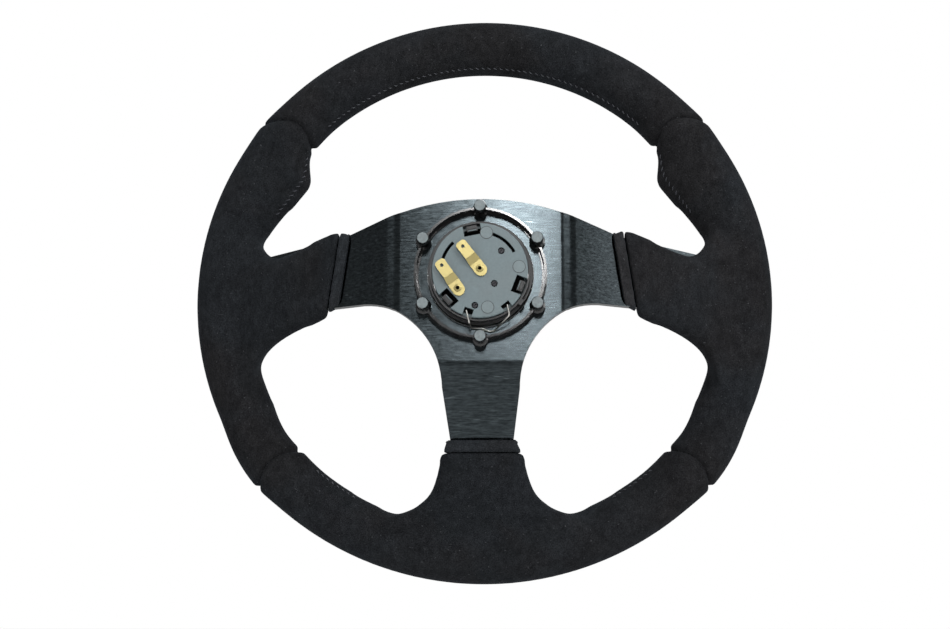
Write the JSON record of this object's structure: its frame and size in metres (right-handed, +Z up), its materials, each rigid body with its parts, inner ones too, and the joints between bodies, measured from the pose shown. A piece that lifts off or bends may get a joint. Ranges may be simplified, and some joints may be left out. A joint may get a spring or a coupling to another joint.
{
  "type": "steering wheel",
  "caption": "Dished three-spoke sports steering wheel with suede grip panels, thumb grips, a brushed hub plate and a snap-in horn button.",
  "frame": {"origin": "centre of the hub hole on the hub plate's rear face, where the wheel seats on the column", "axes": "+Y towards the driver along the column, +Z straight up on the wheel, +X to the right as seen from the column side"},
  "size_m": [0.3498, 0.1119, 0.3467],
  "materials": {
    "suede": "black suede, napped, matt",
    "foam": "moulded polyurethane foam, matt",
    "brushed_black": "horizontally brushed, black anodised",
    "core_metal": "plain rolled strip",
    "rivet_steel": "plain steel",
    "gloss_black": "glossy moulded plastic",
    "horn_black": "satin moulded plastic",
    "horn_grey": "blue-grey moulded plastic",
    "brass": "stamped brass",
    "spring_steel": "drawn spring wire"
  },
  "bodies": {
    "root": {"suede_top": "suede", "suede_left": "suede", "suede_right": "suede", "suede_bottom": "suede", "binding_left": "suede", "binding_right": "suede", "binding_bottom": "suede", "rim_foam": "foam", "spoke_frame": "brushed_black", "front_trim_ring": "brushed_black", "rim_core": "core_metal", "spoke_rivet_left_upper": "rivet_steel", "spoke_rivet_left_lower": "rivet_steel", "spoke_rivet_right_upper": "rivet_steel", "spoke_rivet_right_lower": "rivet_steel", "spoke_rivet_bottom_left": "rivet_steel", "spoke_rivet_bottom_right": "rivet_steel", "base_screw_1": "rivet_steel", "base_screw_2": "rivet_steel", "base_screw_3": "rivet_steel", "horn_bezel": "gloss_black", "horn_housing": "horn_black", "horn_base": "horn_grey", "contact_strip_upper": "brass", "contact_strip_lower": "brass", "terminal_upper": "brass", "terminal_lower": "brass", "terminal_rivet_upper": "brass", "terminal_rivet_lower": "brass", "return_spring_1": "spring_steel", "return_spring_2": "spring_steel", "return_spring_3": "spring_steel"},
    "horn_button": {"horn_cap": "horn_black", "contact_disc": "brass"},
    "wire_clip": {"wire_clip": "spring_steel"},
    "peg_ring": {"peg_ring": "gloss_black"}
  },
  "joints": [
    {"name": "horn_press", "type": "slide", "parent": "root", "child": "horn_button", "axis": [0, -1, 0], "range_m": [0, 0.002], "stiffness_N_per_m": 1500, "springref_m": -0.002},
    {"name": "clip_swing", "type": "hinge", "parent": "root", "child": "wire_clip", "pos_m": [-0.0076, -0.0133, -0.0225], "axis": [-0.9909, 0, -0.1347], "range_deg": [0, 3], "stiffness_Nm_per_rad": 0.02, "springref_deg": -9.74},
    {"name": "peg_ring_pull", "type": "slide", "parent": "root", "child": "peg_ring", "axis": [0, -1, 0], "range_m": [0, 0.012]}
  ]
}
